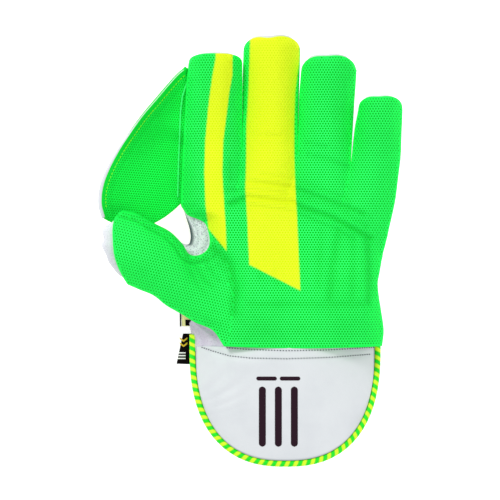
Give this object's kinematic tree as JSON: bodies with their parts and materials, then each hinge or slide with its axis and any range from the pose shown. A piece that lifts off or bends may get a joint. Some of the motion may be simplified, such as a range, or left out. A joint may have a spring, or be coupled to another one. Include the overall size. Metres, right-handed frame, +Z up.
{
  "type": "wicketkeeping glove",
  "caption": "Left-hand wicketkeeping glove lying palm up: pimpled rubber palm with yellow finger bands, thumb web, white leather back and a padded, piped cuff.",
  "frame": {"origin": "on the surface the glove lies on, under the middle of its bounding box", "axes": "+Y from the wrist to the fingertips, +Z up out of the palm, thumb towards -X"},
  "size_m": [0.2036, 0.2892, 0.0642],
  "materials": {
    "green_rubber": "matt, pimpled",
    "yellow_rubber": "matt, pimpled",
    "white_leather": "satin",
    "white_suede": "matt",
    "striped_cord": "satin, with yellow strands",
    "black_fabric": "matt",
    "pale_fabric": "satin"
  },
  "bodies": {
    "root": {"palm_facing": "green_rubber", "index_stripe": "yellow_rubber", "middle_stripe": "yellow_rubber", "index_finger": "white_leather", "middle_finger": "white_leather", "ring_finger": "white_leather", "little_finger": "white_leather", "hand_shell": "white_leather", "thumb_shell": "white_leather", "web_panel": "green_rubber", "web_backing": "yellow_rubber", "web_binding": "white_leather", "crotch_gusset": "white_suede", "wrist_gusset": "white_leather", "palm_cuff": "white_leather", "back_cuff": "white_leather", "palm_cuff_piping": "striped_cord", "back_cuff_piping": "striped_cord", "side_label": "black_fabric", "pull_tab": "pale_fabric"}
  },
  "joints": []
}
